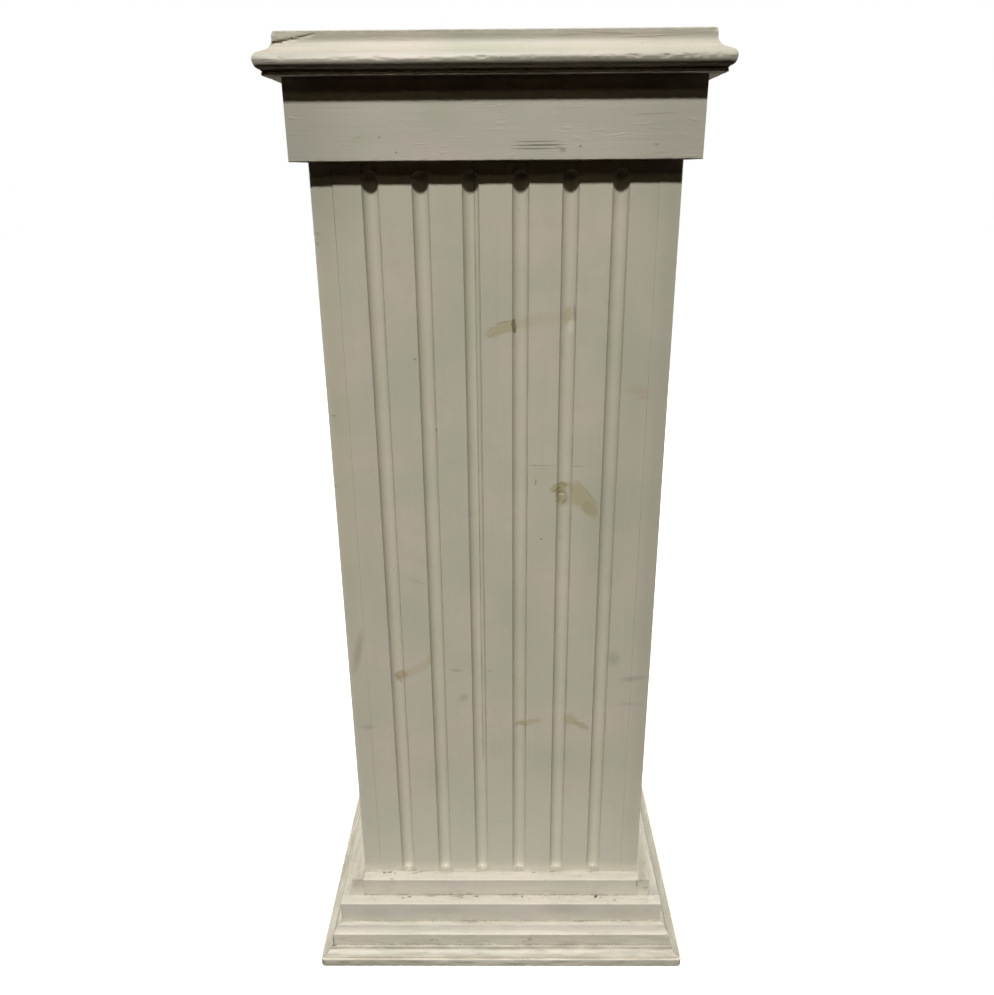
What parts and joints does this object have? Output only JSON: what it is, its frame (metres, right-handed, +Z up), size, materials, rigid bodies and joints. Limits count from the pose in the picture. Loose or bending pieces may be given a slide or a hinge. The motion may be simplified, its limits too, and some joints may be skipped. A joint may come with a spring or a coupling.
{
  "type": "pedestal column",
  "caption": "Square painted wooden pedestal column: a fluted box shaft on a stepped and moulded base, with a plain frieze and a projecting mitred cornice under a flat top.",
  "frame": {"origin": "middle of the underside of the foot board, where the column meets the floor", "axes": "+Z up, the pictured front faces -Y, +X to the right of someone who looks at the front"},
  "size_m": [0.432, 0.432, 1],
  "materials": {
    "shaft_paint": "brushed cream-grey eggshell paint on softwood boards, knots and rubbed stains showing through",
    "head_paint": "the same cream-grey paint on the frieze, cornice and top, scratched and chipped along the arrises",
    "base_paint": "the same cream-grey paint on the steps and hollow mouldings, scuffed, with dirt in the joints",
    "foot_paint": "cream-grey paint worn and soiled brown along the floor"
  },
  "bodies": {
    "root": {"foot_board": "foot_paint", "shaft_front_board": "shaft_paint", "shaft_back_board": "shaft_paint", "shaft_left_board": "shaft_paint", "shaft_right_board": "shaft_paint", "top_board": "head_paint", "frieze_front": "head_paint", "frieze_right": "head_paint", "frieze_back": "head_paint", "frieze_left": "head_paint", "cornice_front": "head_paint", "cornice_right": "head_paint", "cornice_back": "head_paint", "cornice_left": "head_paint", "upper_step_front": "base_paint", "upper_step_right": "base_paint", "upper_step_back": "base_paint", "upper_step_left": "base_paint", "lower_step_front": "base_paint", "lower_step_right": "base_paint", "lower_step_back": "base_paint", "lower_step_left": "base_paint", "upper_cove_front": "base_paint", "upper_cove_right": "base_paint", "upper_cove_back": "base_paint", "upper_cove_left": "base_paint", "lower_cove_front": "base_paint", "lower_cove_right": "base_paint", "lower_cove_back": "base_paint", "lower_cove_left": "base_paint"}
  },
  "joints": []
}
